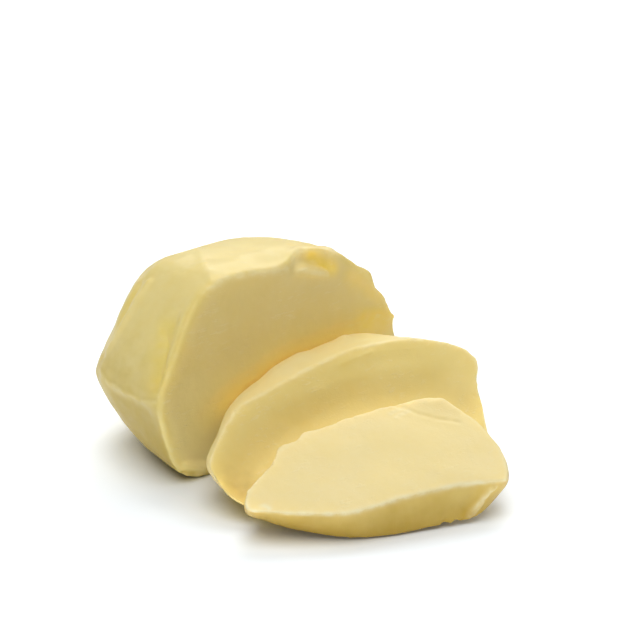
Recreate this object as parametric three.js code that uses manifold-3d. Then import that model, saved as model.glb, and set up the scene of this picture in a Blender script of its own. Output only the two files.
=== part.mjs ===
import * as THREE from 'three';
import { mergeVertices } from 'three/addons/utils/BufferGeometryUtils.js';
import Module from 'manifold-3d';

// A block of firm mozzarella with its front cut away, and two slices fallen back against the cut.
// Millimetres. +X runs out of the cut face towards the slices, +Y across it, +Z up, floor at Z = 0.

const rad = Math.PI / 180;

// the pressed block
const heart = [-13, 29, 27];
const floorDrop = 27;
const flatSharpness = 24;
const ballAround = 84;
const ballSkinRows = 20;
const ballFaceRows = 8;
const faceDish = 0.3;
const rimLip = 0.2;

// each pressed flat: turn about the X axis from +Y towards +Z, lean towards the back, reach from the heart
const pressedFlats = {
  crown: [90, 2, 29.6],
  crownBack: [77, 18, 31.6],
  crownRight: [63, 4, 32.6],
  shoulderRight: [38, 0, 35.3],
  cheekRight: [4, 2, 41.9],
  hipRight: [-40, 4, 38.5],
  underside: [-90, 0, 27.6],
  hipLeft: [238, 0, 40.3],
  cheekLowLeft: [196, 0, 42.4],
  cheekUpLeft: [155, 2, 38.2],
  crownLeft: [130, 4, 37.0],
  backLeft: [147, 45, 37.4],
  backCrownLeft: [95, 31, 32.3],
  backCrown: [80, 52, 32.0],
  backRight: [10, 45, 40.0],
  backEnd: [100, 88, 34.0],
  backUnder: [270, 45, 36.0],
  underLeft: [210, 25, 42.6],
  underBackLeft: [223, 14, 41.2],
};

// a seam runs back along the left cheek, with two thumb dents above it
const seamStart = [0, -13, 26];
const seamEnd = [-30, -12, 24.5];
const seamHeight = 0.9;
const seamWidth = 2.2;
const cheekDents = {
  upper: [-4, -9, 40.5, 6.0, 1.1],
  lower: [-6, -12, 32.5, 4.5, 0.9],
};

// the torn corner at the top right of the cut face
const tearAcross = 42;
const tearSpread = 8.5;
const tearDepth = 3.4;
const tearFloor = 51.5;
const tearSlant = -17;
const hollow = { at: [-1.6, 43.4, 53.4], size: [4.0, 7.0, 2.7] };
const hollowLip = { at: [-0.4, 40.0, 50.3], size: [1.6, 7.0, 1.3] };
const nib = { at: [-0.7, 70.2, 30.6], size: [1.3, 1.5, 1.0] };

// the slices: how far each is turned and laid back, how thick it is, where its foot stands
const middleSlice = {
  turn: -20,
  layBack: 56,
  thick: 9.5,
  foot: [40.9, 39.2, 0],
  dish: 1.3,
  bulge: 0.7,
  ripple: 0.3,
  centre: [-13, 19],
  // corner: across and up for the front rim, then for the back rim
  corners: {
    lowLeft: [-49.4, -4.6, -45.0, 1.5],
    left: [-54.6, 3.6, -50.8, 8.4],
    leftPoint: [-55.6, 9.4, -52.6, 15.4],
    leftRise: [-50.6, 17.6, -46.8, 25.8],
    leftShoulder: [-43.6, 25.8, -40.8, 34.6],
    topLeft: [-31.6, 31.4, -30.0, 42.8],
    topMid: [-15.6, 37.6, -14.6, 49.6],
    top: [-3.0, 40.9, -0.5, 52.4],
    topRight: [12.5, 41.2, 14.0, 48.0],
    rightShoulder: [25.8, 36.2, 24.0, 41.0],
    rightCorner: [28.2, 31.6, 27.5, 34.0],
    right: [26.4, 24.6, 27.4, 27.0],
    rightDip: [25.0, 15.0, 26.5, 17.0],
    lowRight: [21.5, 3.0, 24.0, 5.0],
    bottomRight: [10.0, -5.5, 13.0, 0.0],
    bottom: [-14.0, -8.0, -13.0, -0.5],
    bottomLeft: [-36.0, -8.0, -33.0, -0.5],
  },
  folds: {
    skirt: [[-34, 12], [-6, 30], 5.0, -0.5],
  },
};

const frontSlice = {
  turn: -26,
  layBack: 69,
  thick: 9.5,
  foot: [59.2, 10.9, 0],
  dish: -0.5,
  bulge: 1.0,
  ripple: 0.35,
  centre: [2, 19],
  corners: {
    leftTip: [-33.4, 5.4, -30.2, 12.5],
    leftRise: [-31.4, 12.4, -29.0, 17.0],
    leftShoulder: [-24.4, 20.3, -21.8, 23.0],
    leftNotch: [-20.2, 25.6, -18.4, 27.0],
    upperLeft: [-12.6, 30.6, -12.0, 31.0],
    topLeft: [-2.4, 34.4, -1.0, 35.4],
    top: [13.0, 38.8, 13.0, 38.6],
    topCorner: [27.3, 39.8, 26.0, 38.0],
    rightShoulder: [33.6, 30.8, 33.0, 31.0],
    right: [38.2, 18.0, 38.6, 19.0],
    rightLow: [36.4, 7.0, 37.6, 12.8],
    heelRight: [31.8, 6.4, 33.0, 7.0],
    frontRight: [24.5, 6.8, 28.0, 3.4],
    frontMid: [9.0, 4.5, 11.0, 0.6],
    front: [-6.9, 0.9, -4.0, 0.2],
    frontLeft: [-20.0, 2.1, -18.0, 4.8],
    tipFront: [-29.0, 4.2, -26.4, 9.8],
  },
  folds: {
    flapCrease: [[13.5, 37.0], [25.0, 31.0], 1.9, -0.75],
    flap: [[21, 37.5], [28, 35], 3.6, 0.7],
    hollowing: [[-8, 14], [8, 18], 7.0, -0.4],
  },
};

const restGap = 0.3;
const sliceAround = 72;
const frontRows = 10;
const backRows = 4;
const sliceSkinRows = 4;

function smoothStep(low, high, value) {
  const t = Math.min(1, Math.max(0, (value - low) / (high - low)));
  return t * t * (3 - 2 * t);
}

function closedGrid(rings, firstPole, lastPole) {
  const around = rings[0].length;
  const spots = [firstPole, ...rings.flat(), lastPole];
  const faces = [];
  const at = (row, column) => 1 + row * around + (column % around);
  for (let column = 0; column < around; column += 1) {
    faces.push(0, at(0, column + 1), at(0, column));
    for (let row = 0; row < rings.length - 1; row += 1) {
      const a = at(row, column);
      const b = at(row, column + 1);
      const c = at(row + 1, column + 1);
      const d = at(row + 1, column);
      faces.push(a, b, c, a, c, d);
    }
    faces.push(spots.length - 1, at(rings.length - 1, column), at(rings.length - 1, column + 1));
  }
  const geometry = new THREE.BufferGeometry();
  geometry.setAttribute('position', new THREE.Float32BufferAttribute(spots.flat(), 3));
  geometry.setIndex(faces);
  return geometry;
}

const flatList = Object.values(pressedFlats).map(([turn, lean, reach]) => ({
  x: -Math.sin(lean * rad),
  y: Math.cos(lean * rad) * Math.cos(turn * rad),
  z: Math.cos(lean * rad) * Math.sin(turn * rad),
  reach,
}));

function blockReach(x, y, z) {
  let sum = 0;
  for (const flat of flatList) {
    const facing = (x * flat.x + y * flat.y + z * flat.z) / flat.reach;
    if (facing > 0) sum += facing ** flatSharpness;
  }
  return sum ** (-1 / flatSharpness);
}

function bell(distance, width) {
  return Math.exp(-((distance / width) ** 2));
}

function seamRise(spot) {
  const run = (seamStart[0] - spot[0]) / (seamStart[0] - seamEnd[0]);
  const along = Math.min(1, Math.max(0, run));
  const miss = Math.hypot(
    spot[1] - (seamStart[1] + (seamEnd[1] - seamStart[1]) * along),
    spot[2] - (seamStart[2] + (seamEnd[2] - seamStart[2]) * along),
  );
  return seamHeight * bell(miss, seamWidth) * (1 - smoothStep(1, 1.5, run));
}

function dentDrop(spot) {
  let drop = 0;
  for (const [x, y, z, width, depth] of Object.values(cheekDents)) {
    drop += depth * bell(Math.hypot(spot[0] - x, spot[1] - y, spot[2] - z), width);
  }
  return drop;
}

function blockSpot(lean, turn) {
  const x = -Math.cos(lean);
  const y = Math.sin(lean) * Math.cos(turn);
  const z = Math.sin(lean) * Math.sin(turn);
  let reach = blockReach(x, y, z);
  const spot = () => [heart[0] + reach * x, heart[1] + reach * y, heart[2] + reach * z];
  reach += seamRise(spot()) - dentDrop(spot());
  return spot();
}

function tornBack(spot) {
  const pull = bell(spot[1] - tearAcross, tearSpread) * smoothStep(tearFloor, tearFloor + 3.5, spot[2]);
  return [spot[0] - tearDepth * pull * smoothStep(-8, -1, spot[0]), spot[1], spot[2]];
}

// the lean at which the block's surface reaches the plane of the cut
function cutLean(turn) {
  let low = Math.PI / 2;
  let high = Math.PI * 0.95;
  for (let step = 0; step < 40; step += 1) {
    const middle = (low + high) / 2;
    if (blockSpot(middle, turn)[0] < 0) low = middle;
    else high = middle;
  }
  return low;
}

function blockBody() {
  const rings = [];
  const leans = [];
  for (let column = 0; column < ballAround; column += 1) {
    leans.push(cutLean((column / ballAround) * Math.PI * 2));
  }
  for (let row = 1; row <= ballSkinRows; row += 1) {
    const ring = [];
    for (let column = 0; column < ballAround; column += 1) {
      const turn = (column / ballAround) * Math.PI * 2;
      const share = row / ballSkinRows;
      const spot = blockSpot(leans[column] * share, turn);
      spot[2] = Math.max(0, spot[2]);
      ring.push(tornBack(spot));
    }
    rings.push(ring);
  }
  const rim = rings[rings.length - 1];
  const middle = [0, heart[1], heart[2]];
  for (let row = 1; row <= ballFaceRows; row += 1) {
    const share = 1 - row / (ballFaceRows + 0.6);
    const depth = -faceDish * (1 - share * share) + rimLip * (row === 1 ? 1 : 0);
    rings.push(rim.map((spot) => tornBack([
      depth,
      middle[1] + (spot[1] - middle[1]) * share,
      middle[2] + (spot[2] - middle[2]) * share,
    ])));
  }
  const backSpot = blockSpot(0, 0);
  return closedGrid(rings, backSpot, [-faceDish, middle[1], middle[2]]);
}

function pebble(shape, slant) {
  const stone = new THREE.SphereGeometry(1, 22, 12);
  stone.scale(...shape.size);
  stone.rotateX(slant * rad);
  stone.translate(...shape.at);
  return stone;
}

// shallow creases and swellings of a face, each along a line, with its width and height
function foldRise(folds, w, v) {
  let rise = 0;
  for (const [from, to, width, height] of Object.values(folds)) {
    const length = Math.hypot(to[0] - from[0], to[1] - from[1]);
    const along = [(to[0] - from[0]) / length, (to[1] - from[1]) / length];
    const run = Math.min(length, Math.max(0, (w - from[0]) * along[0] + (v - from[1]) * along[1]));
    const miss = Math.hypot(w - from[0] - run * along[0], v - from[1] - run * along[1]);
    rise += height * bell(miss, width);
  }
  return rise;
}

// the way a slice's front face looks
function faceOut(shape) {
  const turn = shape.turn * rad;
  const lay = shape.layBack * rad;
  return [Math.cos(lay) * Math.cos(turn), Math.cos(lay) * Math.sin(turn), Math.sin(lay)];
}

function sliceBody(shape, against) {
  const corners = Object.values(shape.corners).reverse();
  const rimCurve = (first) => new THREE.CatmullRomCurve3(
    corners.map((corner) => new THREE.Vector3(corner[first], corner[first + 1], 0)), true, 'centripetal');
  const frontRim = rimCurve(0);
  const backRim = rimCurve(2);
  const turn = shape.turn * rad;
  const lay = shape.layBack * rad;
  const out = faceOut(shape);
  const across = [-Math.sin(turn), Math.cos(turn), 0];
  const up = [-Math.sin(lay) * Math.cos(turn), -Math.sin(lay) * Math.sin(turn), Math.cos(lay)];
  const place = (w, v, n) => {
    const spot = [0, 1, 2].map((k) => shape.foot[k] + across[k] * w + up[k] * v + out[k] * n);
    const room = [0, 1, 2].reduce((sum, k) => sum + (spot[k] - against.at[k]) * against.out[k], 0);
    const push = Math.max(0, restGap - room);
    const eased = spot.map((value, k) => value + against.out[k] * push);
    return [eased[0], eased[1], Math.max(0, eased[2])];
  };
  const rings = [];
  const faceRing = (curve, share, depth) => {
    const ring = [];
    for (let column = 0; column < sliceAround; column += 1) {
      const spot = curve.getPoint(column / sliceAround);
      const w = shape.centre[0] + (spot.x - shape.centre[0]) * share;
      const v = shape.centre[1] + (spot.y - shape.centre[1]) * share;
      const relief = depth > 0 ? foldRise(shape.folds, w, v) : 0;
      ring.push(place(w, v, depth + relief));
    }
    return ring;
  };
  for (let row = backRows; row >= 1; row -= 1) {
    const share = 1 - row / (backRows + 0.6);
    rings.push(faceRing(backRim, share, 0));
  }
  for (let row = 0; row <= sliceSkinRows; row += 1) {
    const share = row / sliceSkinRows;
    const ring = [];
    for (let column = 0; column < sliceAround; column += 1) {
      const back = backRim.getPoint(column / sliceAround);
      const front = frontRim.getPoint(column / sliceAround);
      const turnShare = (column / sliceAround) * Math.PI * 2;
      const wave = Math.sin(turnShare * 9 + share) + 0.7 * Math.sin(turnShare * 14 - 2 * share);
      const swell = 1 + (shape.bulge * Math.sin(Math.PI * share) + shape.ripple * wave * 0.5) / 40;
      const w = back.x + (front.x - back.x) * share;
      const v = back.y + (front.y - back.y) * share;
      ring.push(place(
        shape.centre[0] + (w - shape.centre[0]) * swell,
        shape.centre[1] + (v - shape.centre[1]) * swell,
        shape.thick * share,
      ));
    }
    rings.push(ring);
  }
  for (let row = 1; row <= frontRows; row += 1) {
    const share = 1 - row / (frontRows + 0.6);
    rings.push(faceRing(frontRim, share, shape.thick - shape.dish * (1 - share * share)));
  }
  const [midW, midV] = shape.centre;
  const midDepth = shape.thick - shape.dish + foldRise(shape.folds, midW, midV);
  return closedGrid(rings, place(midW, midV, 0), place(midW, midV, midDepth));
}

const wasm = await Module();
wasm.setup();

function toSolid(geometry) {
  const bare = geometry.clone();
  bare.deleteAttribute('normal');
  bare.deleteAttribute('uv');
  const merged = mergeVertices(bare, 1e-4);
  return new wasm.Manifold(new wasm.Mesh({
    numProp: 3,
    vertProperties: new Float32Array(merged.attributes.position.array),
    triVerts: new Uint32Array(merged.index.array),
  }));
}

function toGeometry(solid) {
  const mesh = solid.getMesh();
  const geometry = new THREE.BufferGeometry();
  geometry.setAttribute('position', new THREE.BufferAttribute(new Float32Array(mesh.vertProperties), 3));
  geometry.setIndex(new THREE.BufferAttribute(new Uint32Array(mesh.triVerts), 1));
  geometry.computeVertexNormals();
  return geometry;
}

const cheeseColour = 0xf3e2a4;

function cheesePiece(name, geometry) {
  const material = new THREE.MeshStandardMaterial({ color: cheeseColour, roughness: 0.5, metalness: 0 });
  material.name = name;
  const mesh = new THREE.Mesh(geometry, material);
  mesh.name = name;
  return mesh;
}

// the middle slice leans on the cut face, the front slice on the middle one
const cutPlane = { at: [rimLip, 0, 0], out: [1, 0, 0] };
const middlePlane = {
  at: middleSlice.foot.map((value, k) => value + faceOut(middleSlice)[k] * middleSlice.thick),
  out: faceOut(middleSlice),
};

const block = toSolid(blockBody())
  .subtract(toSolid(pebble(hollow, tearSlant)))
  .add(toSolid(pebble(hollowLip, tearSlant)))
  .add(toSolid(pebble(nib, 0)));


const group = new THREE.Group();
group.name = 'mozzarella_ball';
group.add(cheesePiece('cheese_ball', toGeometry(block)));
group.add(cheesePiece('middle_slice', toGeometry(toSolid(sliceBody(middleSlice, cutPlane)))));
group.add(cheesePiece('front_slice', toGeometry(toSolid(sliceBody(frontSlice, middlePlane)))));

// origin at the middle of the underside
const reach = new THREE.Box3().setFromObject(group, true);
group.position.set(-(reach.min.x + reach.max.x) / 2, -(reach.min.y + reach.max.y) / 2, -reach.min.z);
group.updateMatrixWorld(true);

export default group;
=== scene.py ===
import math

import bpy
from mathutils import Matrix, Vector, kdtree, noise


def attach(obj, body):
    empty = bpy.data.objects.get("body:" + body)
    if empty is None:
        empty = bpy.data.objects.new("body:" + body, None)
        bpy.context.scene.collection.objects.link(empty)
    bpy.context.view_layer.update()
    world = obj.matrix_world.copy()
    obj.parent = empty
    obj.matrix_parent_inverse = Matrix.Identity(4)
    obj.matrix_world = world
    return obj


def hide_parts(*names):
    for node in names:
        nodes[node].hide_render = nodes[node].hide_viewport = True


mm = 0.001

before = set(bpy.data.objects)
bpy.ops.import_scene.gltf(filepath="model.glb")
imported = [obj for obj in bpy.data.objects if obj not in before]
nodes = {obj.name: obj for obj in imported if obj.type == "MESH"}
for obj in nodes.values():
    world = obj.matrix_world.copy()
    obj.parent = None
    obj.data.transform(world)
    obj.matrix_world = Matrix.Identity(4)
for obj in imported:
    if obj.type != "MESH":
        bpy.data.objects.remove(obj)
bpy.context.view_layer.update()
print("cheese: frame loaded with", len(nodes), "solids")

# spots below are in millimetres from the lower corner of the ball's cut face
frameShift = Vector((-12.5616 * mm, -28.3853 * mm, 0))


def place(spot):
    return Vector(spot) * mm + frameShift


def letGo():
    if bpy.context.object and bpy.context.object.mode != "OBJECT":
        bpy.ops.object.mode_set(mode="OBJECT")
    bpy.ops.object.select_all(action="DESELECT")


def pick(piece):
    letGo()
    piece.select_set(True)
    bpy.context.view_layer.objects.active = piece


def ease(low, high, value):
    share = min(1.0, max(0.0, (value - low) / (high - low)))
    return share * share * (3 - 2 * share)


class Flow:  # one shader socket; arithmetic on it adds Math nodes
    def __init__(self, recipe, socket):
        self.recipe = recipe
        self.socket = socket

    def math(self, operation, first, second):
        settings = {"operation": operation}
        return self.recipe.node("ShaderNodeMath", settings, {0: first, 1: second})

    def __add__(self, other):
        return self.math("ADD", self, other)

    def __sub__(self, other):
        return self.math("SUBTRACT", self, other)

    def __rsub__(self, other):
        return self.math("SUBTRACT", other, self)

    def __mul__(self, other):
        return self.math("MULTIPLY", self, other)

    __radd__ = __add__
    __rmul__ = __mul__

    def between(self, low, high):  # 0 at low, 1 at high, eased
        settings = {"interpolation_type": "SMOOTHSTEP"}
        sockets = {"Value": self, "From Min": low, "From Max": high}
        return self.recipe.node("ShaderNodeMapRange", settings, sockets)


class Recipe:  # one material and its nodes
    def __init__(self, name):
        self.material = bpy.data.materials.new(name)
        self.material.use_nodes = True
        self.tree = self.material.node_tree
        self.tree.nodes.clear()
        self.spot = self.node("ShaderNodeTexCoord", out="Object")

    def node(self, kind, settings=None, sockets=None, out=0):
        made = self.tree.nodes.new(kind)
        for name, value in (settings or {}).items():
            setattr(made, name, value)
        for name, value in (sockets or {}).items():
            if isinstance(value, Flow):
                self.tree.links.new(value.socket, made.inputs[name])
            else:
                made.inputs[name].default_value = value
        return Flow(self, made.outputs[out]) if made.outputs else None

    def noise(self, size, detail=2.0, roughness=0.5, spot=None):  # size in metres
        sockets = {"Vector": spot or self.spot, "Scale": 1 / size}
        sockets.update({"Detail": detail, "Roughness": roughness})
        return self.node("ShaderNodeTexNoise", None, sockets, "Fac")

    def painted(self, name):  # what markPaint laid on the mesh
        settings = {"attribute_name": name, "attribute_type": "GEOMETRY"}
        return self.node("ShaderNodeAttribute", settings, None, "Fac")

    def tint(self, share, first, second):
        settings = {"data_type": "RGBA", "clamp_factor": True}
        return self.node("ShaderNodeMix", settings, {0: share, 6: first, 7: second}, 2)

    def past(self, start, direction):  # metres past a plane
        settings = {"operation": "SUBTRACT"}
        away = self.node("ShaderNodeVectorMath", settings, {0: self.spot, 1: tuple(start)})
        settings = {"operation": "DOT_PRODUCT"}
        return self.node("ShaderNodeVectorMath", settings, {0: away, 1: tuple(direction)}, "Value")

    def finish(self, sockets):
        settings = {"subsurface_method": "BURLEY"}
        shader = self.node("ShaderNodeBsdfPrincipled", settings, sockets)
        self.node("ShaderNodeOutputMaterial", None, {"Surface": shader})
        return self.material


black = (0, 0, 0, 1)

cheeseFinish = {
    "scatter": 4.5 * mm,  # how far light spreads inside
    "scatterColours": (1.0, 0.82, 0.5),
    "bending": 1.42,  # of light at the surface
    "shine": 0.4,
    "film": (0.06, 0.25),  # the film of whey: its share and its roughness
    "cutRoughness": 0.5,
    "skinRoughness": 0.42,
    "roughnessWander": (0.1, 0.14),  # with the curds, and with the fine pattern
    # size, detail and roughness of each pattern
    "clouds": (15 * mm, 3.0, 0.55),
    "curds": (4.2 * mm, 4.0, 0.6),
    "fine": (0.9 * mm, 3.0, 0.6),
    "grain": (0.3 * mm, 2.0, 0.5),
    "nicks": (1.1 * mm, 4.0, 0.65),
    # where a pattern starts and where it is full
    "cloudEdges": (0.32, 0.68),
    "curdEdges": (0.28, 0.72),
    "nickEdges": (0.55, 0.66),
    "patternStep": (0.31, 0.17, 0.23),  # from one piece's pattern to the next
    "dragTurn": (0.7, 0.2, 0.3),  # the knife drags the nicks out this way
    "dragStretch": (1, 0.3, 1),
    "pasteMix": (0.55, 0.35),  # how far clouds and curds vary the colour
    "skinMix": (0.5, 0.35),
    "rimMix": 0.35,
    "heightWander": 5 * mm,  # how far the clouds shift what changes with height
    "bump": (0.35, 0.2 * mm),  # strength and depth
    "relief": {"curds": 0.12, "fine": 0.5, "grain": 0.3, "nicks": 1.1},
    "nickColour": (1.0, 0.85, 0.47, 1),
    "nickShare": 0.28,
    "shadeYellow": (0.9, 0.69, 0.14, 1),  # painted shade: the deeper yellow of hollows, folds and the rim, where shade falls
    "glow": (1.0, 0.78, 0.19, 1),  # painted bounce light: the paste's warm glow where two pieces nearly touch
    "glowShare": 0.75,
    "glowRise": (1 * mm, 9 * mm),  # the heights between which the glow comes in
    # painted glow: emission standing in for light that passes through the cheese
    "innerGlow": (0.21, 0.115, 0.022, 1),
}


def cheeseMaterial(name, colours, step):
    finish = cheeseFinish
    made = Recipe(name)
    cut = made.painted("cutPaint")
    sockets = {"Vector": made.spot, "Location": tuple(step * way for way in finish["patternStep"])}
    moved = made.node("ShaderNodeMapping", None, sockets)
    clouds = made.noise(*finish["clouds"], moved).between(*finish["cloudEdges"])
    curds = made.noise(*finish["curds"], moved).between(*finish["curdEdges"])
    fine = made.noise(*finish["fine"], moved)
    grain = made.noise(*finish["grain"], moved)
    sockets = {"Vector": moved, "Rotation": finish["dragTurn"], "Scale": finish["dragStretch"]}
    dragged = made.node("ShaderNodeMapping", None, sockets)
    nicks = made.noise(*finish["nicks"], dragged).between(*finish["nickEdges"]) * clouds * cut

    def mixed(shares):
        return clouds * shares[0] + curds * shares[1]

    paste = made.tint(mixed(finish["pasteMix"]), colours["pasteDeep"], colours["paste"])
    height = made.past((0, 0, 0), (0, 0, 1)) + (clouds - 0.5) * finish["heightWander"]
    # painted light and shade: towards the bottom the paste takes the low colour, lighter on the
    # ball, darker on the slices
    paste = made.tint(height.between(*colours["pasteShadingHeights"]), colours["pasteShadingLow"], paste)
    skin = made.tint(mixed(finish["skinMix"]), colours["skin"], colours["skinPale"])
    # painted shade: the skin darker towards the bottom
    skin = made.tint(height.between(*colours["skinShadeHeights"]), colours["skinShadedLow"], skin)
    colour = made.tint(cut, skin, paste)
    # painted shade: a deeper yellow in hollows, folds and along the rim
    colour = made.tint(made.painted("shadePaint"), colour, finish["shadeYellow"])
    colour = made.tint(nicks * finish["nickShare"], colour, finish["nickColour"])
    # painted bounce light: a warm glow where two pieces nearly touch
    contact = made.painted("glowPaint") * height.between(*finish["glowRise"])
    colour = made.tint(contact * finish["glowShare"], colour, finish["glow"])
    # painted highlight: the pale colour along the rims and ridges
    highlight = made.painted("rimHighlightPaint") * (colours["rimHighlightShare"] + curds * finish["rimMix"])
    colour = made.tint(highlight, colour, colours["rim"])
    skinRoughness, cutRoughness = finish["skinRoughness"], finish["cutRoughness"]
    roughness = skinRoughness + cut * (cutRoughness - skinRoughness)
    curdWander, fineWander = finish["roughnessWander"]
    roughness = roughness + (curds - 0.5) * curdWander + (fine - 0.5) * fineWander
    depth = finish["relief"]
    relief = curds * depth["curds"] + fine * depth["fine"]
    relief = relief + grain * depth["grain"] + nicks * depth["nicks"]
    sockets = {"Strength": finish["bump"][0], "Distance": finish["bump"][1], "Height": relief}
    bump = made.node("ShaderNodeBump", None, sockets, "Normal")
    return made.finish(
        {
            "Base Color": colour,
            # painted glow: emission standing in for light that passes through the cheese
            "Emission Color": made.tint(made.painted("lightPaint"), black, finish["innerGlow"]),
            "Emission Strength": 1.0,
            "Roughness": roughness,
            "Normal": bump,
            "Subsurface Weight": 1.0,
            "Subsurface Radius": finish["scatterColours"],
            "Subsurface Scale": finish["scatter"],
            "IOR": finish["bending"],
            "Specular IOR Level": finish["shine"],
            "Coat Weight": finish["film"][0],
            "Coat Roughness": finish["film"][1],
        }
    )


working = {  # how the tools below work
    "mergeGap": 0.005 * mm,
    "edgeAngle": 42,  # an edge sharper than this is a rim
    "edgeStep": 0.3 * mm,
    "smoothing": 0.5,
    "fadeOut": 2.4,  # a soft mark ends at this many widths
    "faintest": 0.02,  # what is weaker is left out
    "unevenness": 1.6,
    "markGrain": 2.2 * mm,  # size of the breaks in an uneven mark
    "rimGrain": 2.6 * mm,
    "pressFirmness": 1.4,
    "contactEnd": 3,  # the light between two pieces ends at this many reaches
    "contactFall": 1.4,
}


def takeCopy(nodeName, pieceName):  # a merged copy of a solid, to be worked up
    mesh = nodes[nodeName].data.copy()
    piece = bpy.data.objects.new(pieceName, mesh)
    bpy.context.scene.collection.objects.link(piece)
    mesh.materials.clear()
    pick(piece)
    bpy.ops.object.mode_set(mode="EDIT")
    bpy.ops.mesh.select_all(action="SELECT")
    bpy.ops.mesh.remove_doubles(threshold=working["mergeGap"])
    bpy.ops.object.mode_set(mode="OBJECT")
    return piece


def evenMesh(piece, voxel):  # even faces, laid back on the solid's own surface
    pick(piece)
    bpy.ops.object.duplicate()
    guide = bpy.context.object
    addAndApply(piece, "REMESH", mode="VOXEL", voxel_size=voxel, use_smooth_shade=True)
    addAndApply(piece, "SHRINKWRAP", target=guide, wrap_method="NEAREST_SURFACEPOINT")
    pick(guide)
    bpy.ops.object.delete()


def sharpEdges(piece, keep):  # spots along the solid's hard edges
    pick(piece)
    bpy.ops.object.mode_set(mode="EDIT")
    bpy.ops.mesh.select_mode(type="EDGE")
    bpy.ops.mesh.select_all(action="DESELECT")
    bpy.ops.mesh.edges_select_sharp(sharpness=math.radians(working["edgeAngle"]))
    bpy.ops.object.mode_set(mode="OBJECT")
    spots = []
    for edge in piece.data.edges:
        first, second = (piece.data.vertices[index].co for index in edge.vertices)
        if not edge.select or not keep((first + second) / 2):
            continue
        count = max(1, math.ceil((second - first).length / working["edgeStep"]))
        spots += [first.lerp(second, step / count) for step in range(count)]
    tree = kdtree.KDTree(len(spots))
    for index, spot in enumerate(spots):
        tree.insert(spot, index)
    tree.balance()
    return tree


def pathGap(spot, path):  # distance to a line through spots
    if len(path) == 1:
        return (spot - path[0]).length
    best = 1.0
    for first, second in zip(path, path[1:]):
        along = second - first
        share = min(1.0, max(0.0, (spot - first).dot(along) / along.length_squared))
        best = min(best, (spot - first - along * share).length)
    return best


def fade(gap, width):
    return math.exp(-((gap / width) ** 2))


def uneven(weight, breakUp, spot, grain):
    return weight * (1 + breakUp * working["unevenness"] * noise.noise(spot / grain))


def pathWeights(piece, path, width, breakUp=0.0, facing=None):  # a soft band along a path
    path = [place(spot) for spot in path]
    reach = working["fadeOut"] * width
    low = [min(spot[axis] for spot in path) - reach for axis in range(3)]
    high = [max(spot[axis] for spot in path) + reach for axis in range(3)]
    weights = {}
    for vertex in piece.data.vertices:
        spot = vertex.co
        if not all(low[axis] < spot[axis] < high[axis] for axis in range(3)):
            continue
        gap = pathGap(spot, path)
        if gap > reach:
            continue
        weight = fade(gap, width)
        if facing:  # only what looks this way
            weight *= ease(0.0, 0.5, vertex.normal.dot(Vector(facing).normalized()))
        if breakUp:
            weight = uneven(weight, breakUp, spot, working["markGrain"])
        if weight > working["faintest"]:
            weights[vertex.index] = min(1.0, weight)
    return weights


def rimWeights(piece, tree, width, breakUp=0.0):  # a soft band along the rim's spots
    weights = {}
    for vertex in piece.data.vertices:
        gap = tree.find(vertex.co)[2]
        if gap < working["fadeOut"] * width:
            weight = fade(gap, width)
            if breakUp:
                weight = uneven(weight, breakUp, vertex.co, working["rimGrain"])
            weights[vertex.index] = max(0.0, min(1.0, weight))
    return weights


def addGroup(piece, name, weights):
    group = piece.vertex_groups.new(name=name)
    for index, weight in weights.items():
        group.add([index], weight, "REPLACE")
    return name


def addAndApply(piece, kind, **settings):
    pick(piece)
    made = piece.modifiers.new(kind.lower(), kind)
    for name, value in settings.items():
        setattr(made, name, value)
    bpy.ops.object.modifier_apply(modifier=made.name)


def push(piece, name, weights, height, way):
    if weights:
        settings = {"vertex_group": addGroup(piece, name, weights), "direction": way}
        addAndApply(piece, "DISPLACE", strength=height, mid_level=0.0, **settings)


def smooth(piece, rounds, group=""):
    settings = {"factor": working["smoothing"], "iterations": rounds, "vertex_group": group}
    addAndApply(piece, "SMOOTH", **settings)


def soften(piece, name, weights, rounds):
    if weights:
        smooth(piece, rounds, addGroup(piece, name, weights))


# presses the surface towards a plane, or only what stands proud of it
def flatten(piece, weights, start, out, share, proudOnly=False):
    for index, weight in weights.items():
        vertex = piece.data.vertices[index]
        proud = (vertex.co - start).dot(out)
        if proud > 0 or not proudOnly:
            press = proud * min(1.0, weight * working["pressFirmness"]) * share
            vertex.co -= out * press


def softenSpots(piece, softened):
    for name, (path, width, rounds) in softened.items():
        soften(piece, name, pathWeights(piece, path, width * mm), rounds)


def workMarks(piece, marks):
    for name, (path, width, height, way, breakUp) in marks.items():
        weights = pathWeights(piece, path, width * mm, breakUp)
        push(piece, name, weights, height * mm, way)


def cloudRelief(piece, name, size, height, group=""):  # height is up and down from the surface
    texture = bpy.data.textures.new(name, "CLOUDS")
    texture.noise_scale = size
    texture.noise_depth = 2
    settings = {"texture": texture, "texture_coords": "LOCAL", "strength": height * 2}
    addAndApply(piece, "DISPLACE", mid_level=0.5, vertex_group=group, **settings)


def breakRim(piece, name, rim, band, size, height):  # small bumps along the torn rim
    group = addGroup(piece, "rimBreak", rimWeights(piece, rim, band))
    cloudRelief(piece, name, size, height, group)


def markPaint(piece, name, weights):  # where a colour shows; the stronger mark stays
    layer = piece.data.attributes.get(name)
    if layer is None:
        layer = piece.data.attributes.new(name, "FLOAT", "POINT")
    for index, weight in weights.items():
        layer.data[index].value = max(layer.data[index].value, weight)


def scaled(weights, share):
    return {index: weight * share for index, weight in weights.items()}


def paintSpots(piece, name, spots, breakUp):
    for path, width, share in spots:
        markPaint(piece, name, scaled(pathWeights(piece, path, width * mm, breakUp), share))


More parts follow.
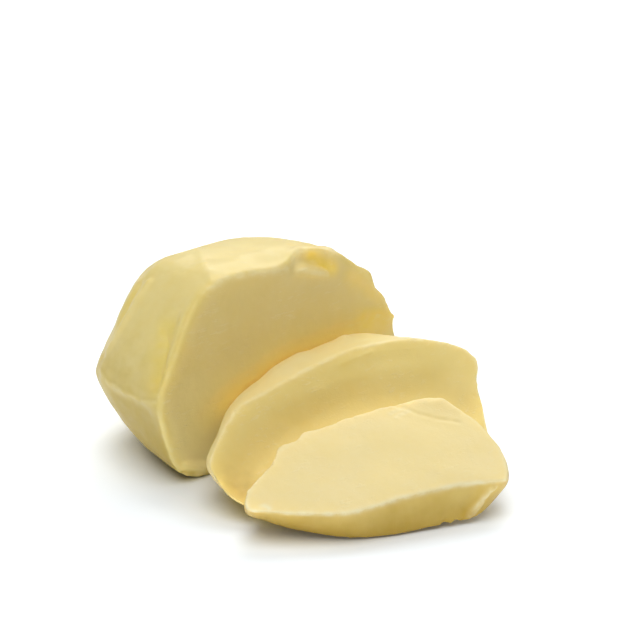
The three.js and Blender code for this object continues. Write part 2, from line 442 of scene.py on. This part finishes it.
def nudge(piece, spot, shift, reach):  # pulls the surface round a spot, softly
    spot = place(spot)
    nearest = min(piece.data.vertices, key=lambda vertex: (vertex.co - spot).length_squared).index
    pick(piece)
    bpy.ops.object.mode_set(mode="EDIT")
    bpy.ops.mesh.select_mode(type="VERT")
    bpy.ops.mesh.select_all(action="DESELECT")
    bpy.ops.object.mode_set(mode="OBJECT")
    piece.data.vertices[nearest].select = True
    bpy.ops.object.mode_set(mode="EDIT")
    bpy.ops.transform.translate(
        value=Vector(shift) * mm,
        use_proportional_edit=True,
        proportional_edit_falloff="SMOOTH",
        proportional_size=reach * mm,
    )
    bpy.ops.object.mode_set(mode="OBJECT")


def vertexTree(piece):
    tree = kdtree.KDTree(len(piece.data.vertices))
    for vertex in piece.data.vertices:
        tree.insert(vertex.co, vertex.index)
    tree.balance()
    return tree


def paintContact(piece, name, tree, reach):  # where a neighbour lies close
    weights = {}
    for vertex in piece.data.vertices:
        gap = tree.find(vertex.co)[2]
        if gap < working["contactEnd"] * reach:
            weights[vertex.index] = math.exp(-((gap / reach) ** working["contactFall"]))
    markPaint(piece, name, weights)


def standOnBoard(piece):  # nothing dips under the board
    for vertex in piece.data.vertices:
        vertex.co.z = max(0.0, vertex.co.z)


def wrapUp(piece, nodeName, material):
    standOnBoard(piece)
    for name in ("cutPaint", "rimHighlightPaint", "glowPaint", "shadePaint", "lightPaint"):
        markPaint(piece, name, {})  # each piece has all five, if only empty
    piece.vertex_groups.clear()
    piece.data.materials.clear()
    piece.data.materials.append(material)
    pick(piece)
    bpy.ops.object.shade_smooth()
    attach(piece, "root")
    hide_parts(nodeName)
    print("cheese:", piece.name, "has", len(piece.data.polygons), "faces")


hollowFloor = [(-3, 41.2, 54), (-2.2, 43.5, 52.2), (-1.1, 45.3, 50.9), (0, 46.9, 49.6)]

ballChoices = {
    "voxel": 0.5 * mm,
    "colours": {
        "paste": (0.895, 0.705, 0.285, 1),
        "pasteDeep": (0.885, 0.68, 0.24, 1),
        # painted light: the paste lighter towards the bottom, where the cut face is in shade
        "pasteShadingLow": (1.0, 0.83, 0.36, 1),
        "pasteShadingHeights": (12 * mm, 36 * mm),
        "skin": (0.925, 0.735, 0.27, 1),
        "skinPale": (0.955, 0.79, 0.355, 1),
        # painted shade: the skin darker towards the bottom
        "skinShadedLow": (0.59, 0.42, 0.078, 1),
        "skinShadeHeights": (12 * mm, 42 * mm),
        # painted highlight: the pale colour of the rims and ridges
        "rim": (1.0, 0.87, 0.5, 1),
        "rimHighlightShare": 0.35,
    },
    "cutDepth": (0.7 * mm, 2.0 * mm),  # the cut's paste shows to here behind the face
    "skinDepth": (2.0 * mm, 4.5 * mm),  # and the skin comes in from here
    "rimDepth": 2.5 * mm,
    "tornPaste": ([(-5, 40, 54), (-4, 47, 53)], 5),  # paste shows here too
    "softenAll": 6,
    "softenSkin": 10,
    "softenLast": 3,
    "rimRound": (1.5 * mm, 10),  # width of the band that is rounded, and how often it is smoothed
    "rimBreak": (1.6 * mm, 3.0 * mm, 0.4 * mm),  # band, size and height
    "lumps": (14 * mm, 0.45 * mm),  # size and height
    "dimples": (3.2 * mm, 0.1 * mm),
    # painted highlights along the rim and along the crease
    "rimHighlight": (0.9 * mm, 0.8, 0.3),  # width, how uneven, share
    "creaseHighlight": (0.6 * mm, 0.9, 0.35),
    "rimShade": (2.2 * mm, 0.45),  # painted shade along the rim: width, share
    "hollow": ((-2.5, 43, 52), 10.5 * mm),
    "shadeUneven": 0.3,
    "shadeSpots": [  # path, width and share of the painted shade, a deeper yellow
        (hollowFloor, 1.8, 1.0),
        (
            [(-7.2, -5.8, 41.4), (-6.4, -7.8, 37.4), (-5.2, -9.6, 33.6), (-3.4, -11.2, 30.4)],
            4.2, 0.6,
        ),
        ([(-1, 60, 30.5), (-2, 64, 31), (-3, 67.5, 31)], 5.0, 0.95),
        ([(-1, 53, 46.5), (-1, 58, 43), (-1, 63, 37)], 2.6, 0.45),
        ([(-27.5, -1, 46), (-28.5, -5, 39), (-30, -8, 33)], 1.8, 0.4),
        ([(-2.5, -6.6, 3), (0, -4.8, 2.4), (0, -2.4, 1.4)], 1.6, 1.0),
    ],
    "highlightUneven": 0.5,
    "highlightSpots": [  # path, width and share of the painted highlight, the rim's pale colour
        (
            [(-22.7, -1.5, 47.8), (-23.7, -4.9, 42.5), (-25.9, -7.8, 36.5), (-28.6, -9.6, 31)],
            0.9, 0.5,
        ),
        (
            [(-0.5, 33.5, 54.6), (-2.6, 36.5, 55), (-4, 40.5, 56), (-4.6, 45, 56),
             (-3.4, 50, 53.4)],
            1.6, 0.9,
        ),
        ([(-0.4, 33, 53.4), (0.6, 38.5, 50.8), (0.9, 41, 49.8), (0.2, 45, 48.6)], 0.8, 0.7),
        (
            [(0, 2.3, 53.7), (0, 9.8, 55.4), (0, 15.6, 55.2), (0, 23.2, 54.4), (0, 31, 53.4)],
            1.1, 1.0,
        ),
    ],
    "lightSpots": [  # path, width and share of the painted glow, emission standing in for light held inside
        (hollowFloor, 2.2, 0.38),
        ([(-1, 59, 29), (-2, 64, 29.5), (-3, 67.5, 30.5)], 4.6, 0.85),
        ([(-1, 54, 46), (-1, 59, 42.5), (-2, 64.5, 36)], 2.4, 0.5),
    ],
    "softened": {  # path, width and rounds
        "softLip": ([(-1, 32, 54.6), (-2, 35.5, 54.2), (-3, 37.5, 55.4)], 3.2, 50),
        "softRim": (
            [(0, 52, 51), (0, 58, 46), (0, 63, 38), (0, 67, 29), (0, 68.5, 22)], 4.0, 40,
        ),
        "softHollow": ([(-4, 38, 54), (-2, 43, 53), (-1.5, 50, 51)], 4.2, 30),
        "cornerTop": ([(-27.5, 3.4, 51), (-30.5, 5, 50)], 3.4, 30),
        "cornerLeft": ([(-30.2, -11.7, 25.4)], 3.0, 30),
        "leftFold": ([(-29, 1, 48), (-31, -4, 40), (-32, -8, 33)], 2.6, 12),
    },
    "pats": [  # spot and half sizes in millimetres, turn in degrees
        ((-5.2, 43.6, 52.2), (4.0, 6.4, 3.6), (-37, 0, -15)),
        ((-4.6, 45.5, 54.6), (2.8, 7.5, 2.2), (-22, 0, 12)),
        ((-2.4, 49.6, 51.6), (2.2, 3.2, 2.4), (-20, 0, 0)),
    ],
    "pressed": ([(0, 34, 52), (0, 38, 51), (0, 42, 50), (0, 46, 48.4)], 3.4, 0.6),  # into the cut
    "nudges": [  # spot, shift and reach in millimetres
        ((-2, 35.5, 54.6), (-1.4, 0, -0.2), 5.0),
        ((0, 5, 56), (0, 0, -1.2), 6.5),
        ((0, 13, 56.6), (0, 0, -1.1), 8.0),
        ((0, 22.5, 56.6), (0, 0, -1.8), 9.0),
        ((0, 31, 56.2), (0, 0, -2.2), 9.0),
        ((-4.5, 41, 58), (0, 0, -1.6), 6.0),
        ((0, -13.3, 25.7), (0, 0.9, 0), 4.0),
        ((-5, 46, 57), (0, -0.2, -2.1), 5.0),
        ((-4, 51, 54), (0, 0, -0.8), 4.5),
        ((-1, 60.2, 44.5), (0, 1.5, 1.0), 6.5),
        ((-1, 66, 37), (0, 0.7, 0.4), 5.0),
        ((0, 71, 30.6), (0, -0.8, -0.9), 2.6),
        ((0, 70.6, 26.4), (0, -0.7, 0), 4.0),
        ((-31, -8, 34), (0.6, 0.7, 0), 8.0),
        ((-30.5, 5, 50), (0.6, 0.3, -0.5), 5.0),
        ((-30.3, -11.8, 25.4), (0.6, 0.5, 0), 4.0),
    ],
    "marks": {  # path, width, height, way, how uneven
        "hollowCore": (hollowFloor, 1.5, -1.1, "NORMAL", 0.1),
        "scoopLip": (
            [(-0.4, 33.5, 53), (0.4, 36, 51.8), (0.9, 38.5, 50.6), (1, 41, 49.6),
             (0.4, 44.5, 48.6), (0, 48, 48.4)],
            1.3, 0.35, "NORMAL", 0.4,
        ),
        "wallRidge": (
            [(-0.6, 31, 55), (-2.6, 34.5, 55.4), (-5, 38.5, 56.2)], 1.2, 0.5, "NORMAL", 0.5,
        ),
        "tornEdge": (
            [(-5, 39, 56.5), (-5.5, 43, 57), (-5, 47, 56), (-3.6, 51, 53.4)],
            1.0, 0.4, "NORMAL", 0.9,
        ),
        "foldRidge": (
            [(-22.5, 0.5, 50), (-22.7, -1.5, 47.8), (-23.7, -4.9, 42.5), (-25.9, -7.8, 36.5),
             (-28.6, -9.6, 31)],
            1.1, 0.9, "NORMAL", 0.3,
        ),
        "foldHollow": (
            [(-27.4, 0.5, 48.4), (-27.2, -4.2, 41.4), (-28.8, -6.8, 36)], 1.6, -1.0, "NORMAL", 0.0,
        ),
        "crease": (
            [(-28.5, -12, 26), (-23.4, -13.4, 24.4), (-13.4, -13.6, 24), (-7.5, -13.7, 23.8),
             (-2, -13.4, 25)],
            0.8, 0.35, "NORMAL", 0.9,
        ),
        "underCrease": (
            [(-22, -13, 21.5), (-13, -13, 21.2), (-6, -13, 21)], 1.5, -0.35, "NORMAL", 0.2,
        ),
        "rimGroove": (
            [(-6, -3.6, 45.5), (-7.4, -5.9, 41.6), (-6.4, -7.4, 38), (-4.8, -9.6, 33.6),
             (-4.2, -11.6, 29.4)],
            2.2, -1.3, "NORMAL", 0.3,
        ),
        "sideNick": ([(-30, -10.6, 29)], 1.0, -0.5, "NORMAL", 0.0),
        "sideLump": ([(-30.4, -11.9, 25.8)], 1.4, 0.6, "NORMAL", 0.0),
        "facetEdge": (
            [(-24, 17, 56.6), (-19.8, 16, 56.4), (-9.8, 9.9, 56.6), (-1, 4.8, 55.6)],
            1.6, 0.4, "NORMAL", 0.2,
        ),
        "footLip": (
            [(-3.2, -7.4, 5.2), (0, -5.4, 5.1), (0, -2.4, 3.9), (0, 0.6, 3.2)], 1.0, 1.2, "X", 0.3,
        ),
        "footUnder": ([(-2, -6.4, 2.6), (0, -4.8, 2.2), (0, -2.4, 1.2)], 1.3, -1.6, "X", 0.0),
    },
}


def onBallRim(spot):  # the edge of the cut, apart from the hollow
    hollowSpot, hollowReach = ballChoices["hollow"]
    nearCut = spot.x > frameShift.x - ballChoices["rimDepth"]
    return nearCut and (spot - place(hollowSpot)).length > hollowReach


def addPats(piece, pats):  # lumps pressed onto a solid before it gets its even mesh
    for spot, size, turn in pats:
        letGo()
        bpy.ops.mesh.primitive_uv_sphere_add(
            segments=32,
            ring_count=16,
            radius=mm,
            location=place(spot),
            rotation=[math.radians(angle) for angle in turn],
            scale=size,
        )
        pat = bpy.context.object
        bpy.ops.object.transform_apply(location=True, rotation=True, scale=True)
        pick(piece)
        pat.select_set(True)
        bpy.ops.object.join()


def makeBall():
    choices = ballChoices
    piece = takeCopy("cheese_ball", "cutBall")
    rim = sharpEdges(piece, onBallRim)
    addPats(piece, choices["pats"])
    evenMesh(piece, choices["voxel"])
    behind = {vertex.index: frameShift.x - vertex.co.x for vertex in piece.data.vertices}
    cut = {index: 1 - ease(*choices["cutDepth"], depth) for index, depth in behind.items()}
    skin = {index: ease(*choices["skinDepth"], depth) for index, depth in behind.items()}
    path, width = choices["tornPaste"]
    markPaint(piece, "cutPaint", cut)
    markPaint(piece, "cutPaint", pathWeights(piece, path, width * mm))
    soften(piece, "skin", skin, choices["softenSkin"])
    smooth(piece, choices["softenAll"])
    width, rounds = choices["rimRound"]
    soften(piece, "rimRound", rimWeights(piece, rim, width), rounds)
    for spot, pull, reach in choices["nudges"]:
        nudge(piece, spot, pull, reach)
    softenSpots(piece, choices["softened"])
    workMarks(piece, choices["marks"])
    path, width, share = choices["pressed"]
    weights = pathWeights(piece, path, width * mm)
    flatten(piece, weights, frameShift, Vector((1, 0, 0)), share, True)
    smooth(piece, choices["softenLast"])
    breakRim(piece, "ballRimBreak", rim, *choices["rimBreak"])
    cloudRelief(piece, "ballLumps", *choices["lumps"], addGroup(piece, "lumpy", skin))
    cloudRelief(piece, "ballDimples", *choices["dimples"])
    # painted highlights along the rim and the crease
    width, breakUp, share = choices["rimHighlight"]
    markPaint(piece, "rimHighlightPaint", scaled(rimWeights(piece, rim, width, breakUp), share))
    width, breakUp, share = choices["creaseHighlight"]
    crease = pathWeights(piece, choices["marks"]["crease"][0], width, breakUp)
    markPaint(piece, "rimHighlightPaint", scaled(crease, share))
    # painted shade: a deeper yellow band along the rim
    width, share = choices["rimShade"]
    markPaint(piece, "shadePaint", scaled(rimWeights(piece, rim, width), share))
    # painted shade in the listed spots
    paintSpots(piece, "shadePaint", choices["shadeSpots"], choices["shadeUneven"])
    # painted highlights in the listed spots
    paintSpots(piece, "rimHighlightPaint", choices["highlightSpots"], choices["highlightUneven"])
    # painted glow in the listed spots
    paintSpots(piece, "lightPaint", choices["lightSpots"], 0)
    return piece


def wayOut(turn, rise):  # a direction, from its degrees round from +X and its degrees up
    turn, rise = math.radians(turn), math.radians(rise)
    level = math.cos(rise)
    return Vector((level * math.cos(turn), level * math.sin(turn), math.sin(rise)))


sliceFinish = {  # the same on both slices
    "faceBand": 4 * mm,  # how far behind the face a hard edge still is its rim
    "cutFacing": (0.76, 0.88),  # how squarely the paste looks out of the face
    "skinFacing": (0.6, 0.8),
    "softenAll": 5,
    "softenLast": 1,
    "rimBreak": (1.2 * mm, 3.0 * mm, 0.22 * mm),  # band, size and height
    "lumps": (9 * mm, 0.12 * mm),  # size and height
    "dimples": (2.4 * mm, 0.015 * mm),
    # painted highlight along the rim
    "rimHighlight": (0.8 * mm, 0.5),  # width, how uneven
    "highlightUneven": 0.9,
}

middleChoices = {
    "turn": -20,  # degrees, of the way the face looks
    "layBack": 56,
    "front": (40.9, 39.2, 0),  # under the front edge
    "thick": 9.5,
    "voxel": 0.38 * mm,
    "softenSkin": 16,
    "rimRound": (1.4 * mm, 8),
    "rimFade": (20, 30, 0.9),  # from the first height to the second the painted rim highlight fades to this share
    # painted highlights in the listed spots
    "highlightSpots": [([(4, 9.6, 21.8), (5.4, 12, 22.6)], 1.2, 0.9)],  # path, width, share
    "flattened": [],
    "softened": {},
    "nudges": [  # spot, shift and reach in millimetres
        ((1.6, 25, 26), (0, 0, 1.3), 7.0),
        ((1.6, 32, 27.6), (0, 0, 1.3), 7.0),
        ((2.6, 49, 29.9), (0, 0, 0.6), 3.0),
        ((2.4, 45, 29.4), (0, 0, -0.4), 2.0),
        ((30.2, 71.5, 25.6), (0.2, 0.5, 0.2), 2.5),
        ((34, 69.5, 22.5), (-0.1, -0.5, -0.1), 1.8),
        ((37.5, 66.8, 19.7), (0, -0.6, 0), 1.8),
        ((36, 68, 21), (0, 0.5, 0.1), 1.6),
        ((41, 64.8, 17), (0, 0.5, 0.1), 2.0),
        ((11.2, 3.2, 21.8), (-0.3, -0.4, 0.4), 1.6),
        ((11.5, 7, 22.8), (0.1, 0, -0.4), 1.6),
    ],
    "marks": {  # path, width, height, way, how uneven
        "faceDish": (
            [(27, -4.5, 9), (23.9, 2.1, 12.7), (21.7, 8.6, 15), (21.2, 17.4, 17.1),
             (22.1, 27.2, 18.6), (24.5, 37.6, 19.8), (28.5, 48.6, 20.2), (32.3, 57, 20),
             (38, 59, 17.6)],
            7.5, -2.3, "NORMAL", 0.0,
        ),
        "underRim": (
            [(13.4, 24, 24.6), (14.6, 32, 26.2), (16.4, 41, 27.2), (18.6, 50, 27.6), (22, 58, 27)],
            2.0, -0.2, "NORMAL", 0.0,
        ),
        "pullLine": (
            [(13.8, 37.8, 27.9), (14.2, 41.1, 28.4), (14.7, 44.6, 28.8), (15.3, 48, 29.3)],
            0.7, 0.25, "NORMAL", 0.4,
        ),
    },
    "colours": {
        "paste": (0.96, 0.76, 0.275, 1),
        "pasteDeep": (0.945, 0.725, 0.23, 1),
        # painted shade: the paste darker near the board
        "pasteShadingLow": (0.58, 0.4, 0.1, 1),
        "pasteShadingHeights": (0 * mm, 12 * mm),
        "skin": (0.97, 0.8, 0.36, 1),
        "skinPale": (0.98, 0.83, 0.43, 1),
        # painted shade: the skin a little darker towards the bottom
        "skinShadedLow": (0.95, 0.72, 0.26, 1),
        "skinShadeHeights": (6 * mm, 16 * mm),
        # painted highlight: the pale colour of the rims
        "rim": (1.0, 0.87, 0.5, 1),
        "rimHighlightShare": 0.35,
    },
}

frontChoices = {
    "turn": -26,
    "layBack": 69,
    "front": (59.2, 10.9, 0),
    "thick": 9.5,
    "voxel": 0.35 * mm,
    "softenSkin": 20,
    "rimRound": (1.3 * mm, 6),
    "rimFade": (11, 17, 0.35),
    # painted highlights in the listed spots
    "highlightSpots": [
        ([(70.6, 41.8, 9.4), (69.3, 39, 6), (69, 37.8, 4.4), (68.4, 35.6, 2.4)], 0.8, 1.0),
        ([(44.6, -14.2, 11.4), (45.8, -13.6, 10.6)], 1.0, 1.0),
    ],
    "flattened": [  # path, width, share
        (
            [(36, 38, 22.5), (40, 40, 21.6), (44, 43, 21.2), (48, 47, 20.4), (51, 50, 19.8)],
            5.0, 0.95,
        ),
    ],
    "softened": {
        "flapArea": ([(36, 38, 22.5), (40, 40, 21.6), (44, 43, 21.2), (48, 47, 20.4)], 4.6, 60),
        "footArea": ([(63, 20, 1.5), (68, 33, 1.5)], 2.2, 12),
        "lowRim": (
            [(53, -11.5, 8.6), (55, -10, 8.2), (61.9, 1, 7.6), (66, 12, 8.2), (68, 20.6, 8.8)],
            2.4, 36,
        ),
    },
    "nudges": [  # spot, shift and reach in millimetres
        ((32, 2.9, 18.2), (-1.2, -0.3, 0.3), 4.5),
        ((31.6, 11.5, 19.8), (-1.1, -0.3, 0.3), 3.6),
        ((33.2, 22.5, 21.2), (-0.5, 0, 0.2), 3.0),
        ((35.1, -3.3, 16.1), (0.5, 0.2, 0), 2.6),
        ((33.3, 17.2, 20.4), (0.5, 0.1, -0.1), 2.2),
        ((38.8, -13.9, 13.1), (-0.5, -0.2, 0.1), 1.4),
        ((40, -15, 12.4), (0.4, 0.3, 0), 1.2),
        ((42.4, 48.8, 23), (-0.6, 0.4, 0.5), 2.6),
        ((66.3, 28.8, 1.2), (-0.4, 0, 0.8), 1.8),
        ((67.4, 32, 1), (-0.2, 0, 0.5), 1.4),
    ],
    "marks": {
        "flapCrease": (
            [(36.2, 38, 22.5), (38.4, 39.6, 22.1), (42, 41, 21.4), (44.6, 43.1, 20.6),
             (47.4, 45.4, 20.2), (50.3, 48.2, 19.8)],
            0.7, -0.25, "NORMAL", 0.5,
        ),
        "endSerration": (
            [(70.6, 41.8, 9.4), (69.8, 40.2, 7.6), (69.3, 39, 6), (69, 37.8, 4.4),
             (68.4, 35.6, 2.4)],
            0.8, 0.9, "NORMAL", 0.9,
        ),
        "endGroove": (
            [(69.2, 38, 9), (68.4, 36.2, 6.8), (68, 34.6, 4.6)], 1.8, -0.8, "NORMAL", 0.2,
        ),
    },
    "colours": {
        "paste": (0.98, 0.8, 0.385, 1),
        "pasteDeep": (0.975, 0.775, 0.32, 1),
        # painted shade: the paste a little deeper near the board
        "pasteShadingLow": (0.975, 0.775, 0.32, 1),
        "pasteShadingHeights": (0 * mm, 12 * mm),
        # painted shade: this slice's skin is darker than the other pieces' skin, and darker again
        # towards the bottom
        "skin": (0.84, 0.6, 0.155, 1),
        "skinPale": (0.86, 0.635, 0.185, 1),
        "skinShadedLow": (0.66, 0.43, 0.065, 1),
        "skinShadeHeights": (1.0 * mm, 12 * mm),
        # painted highlight: the pale colour of the rims
        "rim": (1.0, 0.91, 0.62, 1),
        "rimHighlightShare": 0.45,
    },
}


def makeSlice(nodeName, pieceName, choices, step):
    finish = sliceFinish
    piece = takeCopy(nodeName, pieceName)
    out = wayOut(choices["turn"], choices["layBack"])
    front = place(choices["front"]) + out * choices["thick"] * mm

    def nearFace(spot):
        return (spot - front).dot(out) > -finish["faceBand"]

    rim = sharpEdges(piece, nearFace)
    evenMesh(piece, choices["voxel"])
    facing = {vertex.index: vertex.normal.dot(out) for vertex in piece.data.vertices}
    cut = {index: ease(*finish["cutFacing"], share) for index, share in facing.items()}
    skin = {index: 1 - ease(*finish["skinFacing"], share) for index, share in facing.items()}
    markPaint(piece, "cutPaint", cut)
    smooth(piece, finish["softenAll"])
    soften(piece, "skin", skin, choices["softenSkin"])
    width, rounds = choices["rimRound"]
    soften(piece, "rimRound", rimWeights(piece, rim, width), rounds)
    for path, width, share in choices["flattened"]:
        flatten(piece, pathWeights(piece, path, width * mm, 0, out), front, out, share)
    softenSpots(piece, choices["softened"])
    for spot, pull, reach in choices["nudges"]:
        nudge(piece, spot, pull, reach)
    workMarks(piece, choices["marks"])
    smooth(piece, finish["softenLast"])
    breakRim(piece, pieceName + "RimBreak", rim, *finish["rimBreak"])
    cloudRelief(piece, pieceName + "Lumps", *finish["lumps"])
    cloudRelief(piece, pieceName + "Dimples", *finish["dimples"])
    # painted highlight along the rim, fading with height, and in the listed spots
    highlight = rimWeights(piece, rim, *finish["rimHighlight"])
    low, high, share = choices["rimFade"]
    for index in highlight:
        height = piece.data.vertices[index].co.z
        highlight[index] *= 1 - (1 - share) * ease(low * mm, high * mm, height)
    markPaint(piece, "rimHighlightPaint", highlight)
    paintSpots(piece, "rimHighlightPaint", choices["highlightSpots"], finish["highlightUneven"])
    return piece, cheeseMaterial(pieceName + "Cheese", choices["colours"], step)


contactReach = {  # how far from a neighbour the painted bounce light warms the paste, and how far the painted glow holds light
    "ballGlow": 4.2 * mm,
    "ballLight": 3.0 * mm,
    "middleGlow": 2.6 * mm,
}

ball = makeBall()
middle, middleCheese = makeSlice("middle_slice", "middleSlice", middleChoices, 2)
front, frontCheese = makeSlice("front_slice", "frontSlice", frontChoices, 3)
middleTree, frontTree = vertexTree(middle), vertexTree(front)
# painted bounce light where the pieces nearly touch
paintContact(ball, "glowPaint", middleTree, contactReach["ballGlow"])
# painted glow on the ball next to the middle slice
paintContact(ball, "lightPaint", middleTree, contactReach["ballLight"])
paintContact(middle, "glowPaint", frontTree, contactReach["middleGlow"])
ballCheese = cheeseMaterial("ballCheese", ballChoices["colours"], 1)
wrapUp(ball, "cheese_ball", ballCheese)
wrapUp(middle, "middle_slice", middleCheese)
wrapUp(front, "front_slice", frontCheese)


studio = {
    "floorSize": 6,
    "floorDrop": 0.15 * mm,  # the floor lies this far under the food
    "floorColour": (0.93, 0.96, 0.99, 1),
    "speckleColour": (0.94, 0.94, 0.945, 1),
    "speckle": (40 * mm, 0.1),  # size and share
    "floorRoughness": 0.85,
    "floorGlow": 0.28,  # painted light: the floor glows, fading out towards the food, which leaves a painted shadow round it
    "glowColour": (0.9, 0.96, 1.0, 1),
    "glowSpread": (60 * mm, 46.5 * mm, 1),
    "glowEdges": (0.74, 1.16),  # starts and is full at these shares of the spread
    "skyStrength": 0.14,
    "skyColour": (0.88, 0.95, 1.0, 1),
    # azimuth from +X towards +Y and height in degrees, distance and size in metres, power in watts
    "lamps": {
        "keyLight": (132, 46, 1.5, 1.4, 14.1),
        "fillLight": (-60, 70, 1.5, 1.4, 13.1),
    },
}


def makeFloor():
    letGo()
    drop = studio["floorDrop"]
    bpy.ops.mesh.primitive_plane_add(size=studio["floorSize"], location=(0, 0, -drop))
    floor = bpy.context.object
    floor.name = "studioFloor"
    made = Recipe("paleFloor")
    size, share = studio["speckle"]
    speckle = made.noise(size) * share
    colour = made.tint(speckle, studio["floorColour"], studio["speckleColour"])
    # painted light on the floor, fading out round the food as a painted shadow
    settings = {"operation": "DIVIDE"}
    spread = made.node("ShaderNodeVectorMath", settings, {0: made.spot, 1: studio["glowSpread"]})
    away = made.node("ShaderNodeVectorMath", {"operation": "LENGTH"}, {0: spread}, "Value")
    glow = made.tint(away.between(*studio["glowEdges"]), black, studio["glowColour"])
    sockets = {"Base Color": colour, "Roughness": studio["floorRoughness"]}
    sockets.update({"Emission Color": glow, "Emission Strength": studio["floorGlow"]})
    floor.data.materials.append(made.finish(sockets))


def makeLight():
    world = bpy.data.worlds.new("studioSky")
    bpy.context.scene.world = world
    world.use_nodes = True
    background = world.node_tree.nodes["Background"]
    background.inputs["Color"].default_value = studio["skyColour"]
    background.inputs["Strength"].default_value = studio["skyStrength"]
    for name, (azimuth, height, distance, size, power) in studio["lamps"].items():
        away = wayOut(azimuth, height)
        letGo()
        bpy.ops.object.light_add(type="AREA", location=away * distance)
        lamp = bpy.context.object
        lamp.name = name
        lamp.data.shape = "DISK"
        lamp.data.size = size
        lamp.data.energy = power
        lamp.rotation_mode = "QUATERNION"
        lamp.rotation_quaternion = away.to_track_quat("Z", "Y")


cameraChoices = {
    "azimuth": 50.0,  # degrees from -Y towards +X
    "elevation": 20.0,
    "distance": 0.7,
    "target": (-5.4835 * mm, 4.3411 * mm, 42.899 * mm),
    "lens": 149.574,
    "sensor": 36,
    "clip": (0.01, 20),
}


def makeCamera():
    choices = cameraChoices
    turn, rise = math.radians(choices["azimuth"]), math.radians(choices["elevation"])
    level = math.cos(rise)
    back = Vector((math.sin(turn) * level, -math.cos(turn) * level, math.sin(rise)))
    letGo()
    bpy.ops.object.camera_add(location=Vector(choices["target"]) + back * choices["distance"])
    camera = bpy.context.object
    camera.name = "studioCamera"
    camera.rotation_mode = "QUATERNION"
    camera.rotation_quaternion = (-back).to_track_quat("-Z", "Y")
    camera.data.lens = choices["lens"]
    camera.data.sensor_width = choices["sensor"]
    camera.data.clip_start, camera.data.clip_end = choices["clip"]
    bpy.context.scene.camera = camera


makeFloor()
makeLight()
makeCamera()
bpy.context.scene.view_settings.view_transform = "Standard"
print("cheese: floor, light and camera are set")

letGo()
